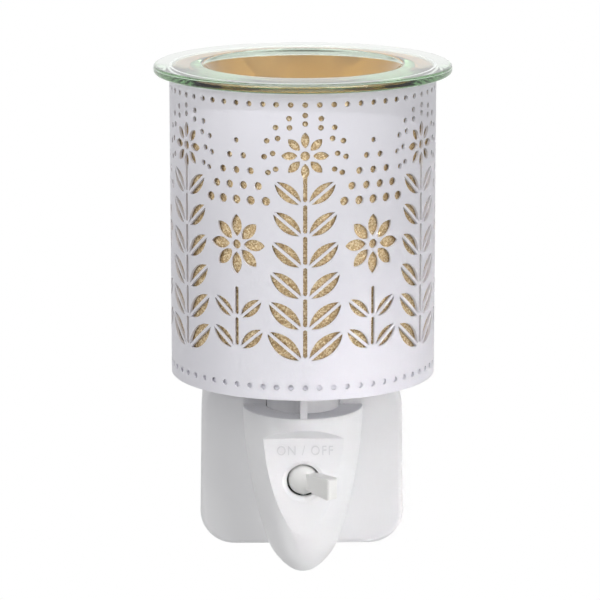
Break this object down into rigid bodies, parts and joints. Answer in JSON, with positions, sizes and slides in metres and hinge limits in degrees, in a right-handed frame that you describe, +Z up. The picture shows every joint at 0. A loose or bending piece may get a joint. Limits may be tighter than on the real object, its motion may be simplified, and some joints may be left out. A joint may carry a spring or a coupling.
{
  "type": "plug-in wax melt warmer",
  "caption": "Plug-in wax melt warmer: clear glass dish on a white pierced cylindrical shade with a gold liner, over a screw-in bulb and a wall plug with a toggle switch.",
  "frame": {"origin": "centre of the plug's wall face", "axes": "+X to the viewer's right as it hangs on the wall, +Y into the wall, +Z up"},
  "size_m": [0.08, 0.1047, 0.1415],
  "materials": {
    "clear_glass": "clear moulded",
    "shade_white": "satin powder coat",
    "champagne_glitter": "fine metallic glitter",
    "white_plastic": "semi-gloss moulded",
    "white_plastic_matte": "matte moulded",
    "brass": "plain",
    "plated_steel": "zinc plated",
    "cap_aluminium": "plain",
    "solder": "dull",
    "bulb_glass": "clear blown",
    "black_glass": "glossy opaque",
    "black_plastic": "matte moulded",
    "brown_insulation": "satin",
    "blue_insulation": "satin"
  },
  "bodies": {
    "base": {"centre_contact": "brass", "cover_screws": "plated_steel", "earth_pin": "white_plastic", "gold_liner": "champagne_glitter", "lamp_holder": "white_plastic", "live_pin": "brass", "live_wire": "brown_insulation", "neutral_pin": "brass", "neutral_wire": "blue_insulation", "nose_cover": "white_plastic", "pin_sleeves": "black_plastic", "plug_body": "white_plastic", "rear_cover": "white_plastic", "screw_shell": "brass", "shade_base": "shade_white", "shade_ring": "white_plastic_matte", "shade_sleeve": "shade_white", "switch_frame": "black_plastic", "switch_terminals": "brass", "switched_wire": "brown_insulation", "toggle_axle": "plated_steel"},
    "toggle": {"toggle": "white_plastic"},
    "carriage": {"contact_carriage": "white_plastic_matte", "bridge_contact": "brass"},
    "dish": {"wax_dish": "clear_glass"},
    "bulb": {"bulb_tip": "solder", "bulb_insulator": "black_glass", "bulb_cap": "cap_aluminium", "bulb_glass": "bulb_glass", "bulb_stem": "bulb_glass", "bulb_filament": "plated_steel"}
  },
  "joints": [
    {"name": "toggle_flip", "type": "hinge", "parent": "base", "child": "toggle", "pos_m": [0, -0.05055, 0.0014], "axis": [0, 0, 1], "range_deg": [-70, 0]},
    {"name": "carriage_slide", "type": "slide", "parent": "base", "child": "carriage", "axis": [1, 0, 0], "range_m": [0, 0.00757]},
    {"name": "dish_lift", "type": "slide", "parent": "base", "child": "dish", "axis": [0, 0, 1], "range_m": [0, 0.04]},
    {"name": "bulb_unscrew", "type": "slide", "parent": "base", "child": "bulb", "axis": [0, 0, 1], "range_m": [0, 0.015]}
  ],
  "couplings": [
    {"joint": "toggle_flip", "follows": "carriage_slide", "rad_per_m": -161.37}
  ]
}
